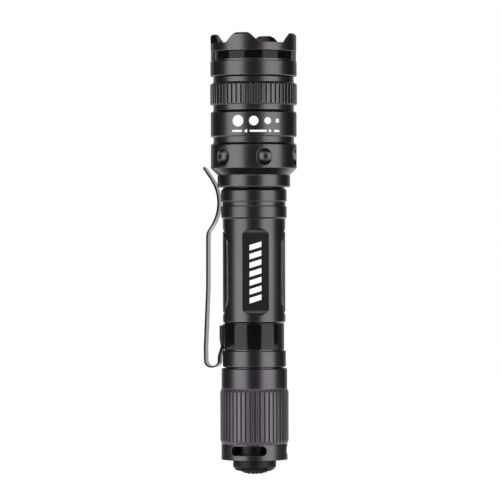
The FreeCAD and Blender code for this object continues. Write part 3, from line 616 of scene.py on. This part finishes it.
def rounded_line(points, radii, step):
    """Bent line whose corners are arcs with a point every step degrees, as points with their directions."""
    corners = [Vector((*point, 0)) for point in points]
    stations = [(corners[0], (corners[1] - corners[0]).normalized())]
    for index, radius in enumerate(radii):
        corner = corners[index + 1]
        before = (corner - corners[index]).normalized()
        after = (corners[index + 2] - corner).normalized()
        turn = before.angle(after)
        trim = radius * math.tan(turn / 2)
        side = (after - before).normalized()
        centre = corner + side * radius / math.cos(turn / 2)
        start = corner - before * trim
        spin = math.copysign(1, before.cross(after).z)
        count = max(2, int(math.degrees(turn) / step))
        for part in range(count + 1):
            angle = spin * turn * part / count
            arm = start - centre
            turned_arm = Vector((arm.x * math.cos(angle) - arm.y * math.sin(angle),
                                 arm.x * math.sin(angle) + arm.y * math.cos(angle), 0))
            way = Vector((before.x * math.cos(angle) - before.y * math.sin(angle),
                          before.x * math.sin(angle) + before.y * math.cos(angle), 0))
            stations.append((centre + turned_arm, way))
    stations.append((corners[-1], (corners[-1] - corners[-2]).normalized()))
    return stations


def filled_in(stations, longest):
    """The same line with extra stations on its long straight runs."""
    full = [stations[0]]
    for point, way in stations[1:]:
        last, last_way = full[-1]
        count = int((point - last).length / longest) + 1
        for part in range(1, count):
            full.append((last.lerp(point, part / count), last_way.lerp(way, part / count).normalized()))
        full.append((point, way))
    return full


def strip_section():
    """Rounded outline of the strip's section as (across, out), with a point where the rubbed band starts."""
    edge_step = 30
    outline = []
    for across_side, out_side, first in SECTION_CORNERS:
        for angle in (first, first + edge_step, first + 2 * edge_step, first + 3 * edge_step):
            outline.append((across_side * (STRIP_HALF_WIDTH - STRIP_EDGE)
                            + STRIP_EDGE * math.cos(math.radians(angle)),
                            out_side * (STRIP_HALF_THICK - STRIP_EDGE)
                            + STRIP_EDGE * math.sin(math.radians(angle))))
        if (across_side, out_side) == (-1, -1):
            outline.append((RUBBED_FROM, -STRIP_HALF_THICK))
    return outline


def clip_place(across, out, height):
    """Point beside the light, from millimetres across the clip, out from the axis and up."""
    outward = Vector((math.sin(CLIP_BEARING), -math.cos(CLIP_BEARING), 0))
    sideways = Vector((outward.y, -outward.x, 0))
    point = (outward * out + sideways * across) * MM
    point.z = up(height)
    return point


def make_clip_strip():
    """Leg, bend and arm of the clip as one bent strip with rounded edges and a rounded tip.

    A band along its inner face is pale, except on the leg and the near half of the bend.
    """
    arc_step, longest_run = 6, 1.5
    tip_length, tip_width = 1.3, 0.72
    stations = filled_in(rounded_line(LEG_POINTS + ARM_POINTS, BEND_RADII, arc_step), longest_run)
    section = strip_section()
    end = stations[-1][0]
    vertices = []
    for point, way in stations:
        away = min(1.0, (end - point).length / tip_length)
        narrow = tip_width + (1 - tip_width) * math.sqrt(max(0.0, 1 - (1 - away) ** 2))
        for across, thick in section:
            side = Vector((way.y, -way.x, 0)) * thick
            vertices.append(clip_place(across * narrow, point.x + side.x, point.y + side.y))
    columns = len(section)
    rows = len(stations)
    faces = grid_faces(rows, columns, closed_columns=True)
    faces.append(tuple(range(columns - 1, -1, -1)))
    faces.append(tuple(range((rows - 1) * columns, rows * columns)))
    piece = add_piece("clip_strip", vertices, faces, "clip_steel")
    piece.data.materials.append(MATERIALS["clip_inside"])
    rubbed_column = section.index((RUBBED_FROM, -STRIP_HALF_THICK))
    bend_out, leg_top = 15.2, LEG_POINTS[0][1]
    for row in range(rows - 1):
        if stations[row][0].x > bend_out or stations[row][0].y > leg_top:
            piece.data.polygons[row * columns + rubbed_column].material_index = 1
    hinge_out, hinge_height, reach = 14.9, 32.4, 3.0
    before = clip_place(0, hinge_out - reach, hinge_height)
    after = clip_place(0, hinge_out + reach / 2, hinge_height)
    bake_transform(piece)
    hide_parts("clip_arm")


def make_clip_hoop():
    """Open spring band in the tube's groove, with two ears that carry the strip.

    Lengths are in millimetres as for the strip, and arcs in degrees from the strip's bearing.
    """
    middle_r, half_thick, half_arc = 10.67, 0.25, 152.0
    low, high, ear_low, ear_high = 38.64, 47.57, 40.0, 46.9
    ear_x, ear_out, ear_depth = 2.49, 11.5, 0.35
    edge, edge_step = 0.1, 45
    bend, bend_steps, bend_gap = 0.5, 4, 1.5
    steps = 96
    ear_angle = math.degrees(math.asin(ear_x / middle_r))
    outline = []
    for thick_side, up_side, first in SECTION_CORNERS:
        for angle in (first, first + edge_step, first + 2 * edge_step):
            outline.append((thick_side, up_side, edge * math.cos(math.radians(angle)),
                            edge * math.sin(math.radians(angle))))
    vertices, faces = [], []
    columns = len(outline)
    for side in (-1, 1):
        stations = [(Vector((side * ear_x, ear_out, 0)), Vector((side, 0, 0)), ear_low, ear_high),
                    (Vector((side * ear_x, ear_out - ear_depth, 0)), Vector((side, 0, 0)),
                     ear_low, ear_high)]
        for part in range(bend_steps + 1):
            angle = math.radians(90 * part / bend_steps)
            share = part / bend_steps
            stations.append((Vector((side * (ear_x + bend * (1 - math.cos(angle))),
                                     middle_r * math.cos(math.radians(ear_angle)) + bend
                                     - bend * math.sin(angle), 0)),
                             Vector((side * math.cos(angle), math.sin(angle), 0)),
                             ear_low + (low - ear_low) * share, ear_high + (high - ear_high) * share))
        first_angle = ear_angle + math.degrees(bend / middle_r) + bend_gap
        for step in range(steps + 1):
            angle = math.radians(first_angle + (half_arc - first_angle) * step / steps)
            outward = Vector((side * math.sin(angle), math.cos(angle), 0))
            stations.append((outward * middle_r, outward, low, high))
        start = len(vertices)
        for point, outward, bottom, top in stations:
            for thick_side, up_side, edge_out, edge_up in outline:
                out = thick_side * (half_thick - edge) + edge_out
                place = point + outward * out
                height = (top - edge if up_side > 0 else bottom + edge) + edge_up
                vertices.append(clip_place(place.x, place.y, height))
        faces += grid_faces(len(stations), columns, closed_columns=True, first=start)
        faces.append(tuple(range(start + columns - 1, start - 1, -1)))
        faces.append(tuple(range(start + (len(stations) - 1) * columns, start + len(stations) * columns)))
    piece = add_piece("clip_hoop", vertices, faces, "clip_steel")
    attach(piece, "clip")
    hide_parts("clip_band")


add_camera()
add_studio()
add_floor()
dress_cad_nodes()
make_zoom_print()
make_panel_print()
make_rubber_boot()
make_switch_coil()
make_clip_strip()
make_clip_hoop()
